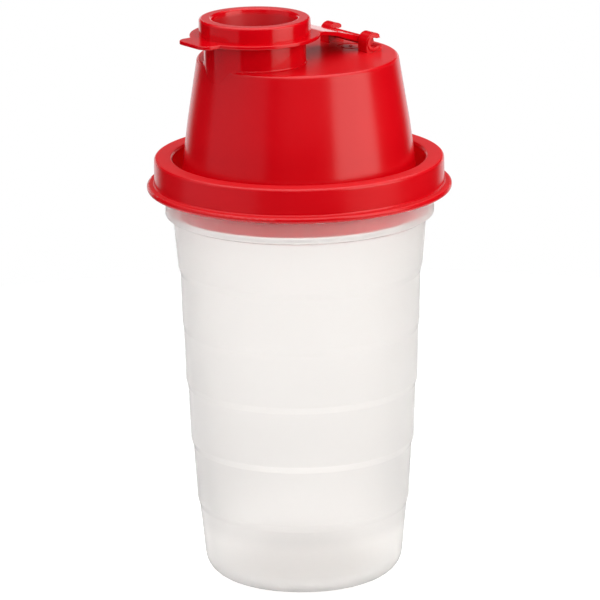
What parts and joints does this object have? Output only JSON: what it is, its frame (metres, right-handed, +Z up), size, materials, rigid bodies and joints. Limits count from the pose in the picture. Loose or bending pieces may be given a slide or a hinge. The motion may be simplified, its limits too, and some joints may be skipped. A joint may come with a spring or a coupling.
{
  "type": "shaker bottle",
  "caption": "Shaker bottle for salad dressing: a stepped translucent cup with a domed press-on lid, a pouring spout, a hinged flip cap and a mixing insert.",
  "frame": {"origin": "middle of the resting circle under the cup", "axes": "+Z up along the cup's axis, the spout and the finger tab towards -X, the cap's hinge towards +X"},
  "size_m": [0.1042, 0.1042, 0.1982],
  "materials": {
    "cup_plastic": "translucent natural plastic, satin, faintly milky",
    "lid_plastic": "opaque red plastic, satin dome and glossy top",
    "cap_plastic": "opaque red plastic, glossy",
    "insert_plastic": "natural white plastic, satin"
  },
  "bodies": {
    "cup": {"cup": "cup_plastic"},
    "lid": {"lid": "lid_plastic"},
    "flip_cap": {"flip_cap": "cap_plastic"},
    "mixing_insert": {"mixing_insert": "insert_plastic"}
  },
  "joints": [
    {"name": "lid_lift", "type": "slide", "parent": "cup", "child": "lid", "axis": [0, 0, 1], "range_m": [0, 0.06]},
    {"name": "cap_hinge", "type": "hinge", "parent": "lid", "child": "flip_cap", "pos_m": [0.0226, 0, 0.18605], "axis": [0, 1, 0], "range_deg": [0, 165]},
    {"name": "insert_drop", "type": "slide", "parent": "lid", "child": "mixing_insert", "axis": [0, 0, -1], "range_m": [0, 0.02]}
  ]
}
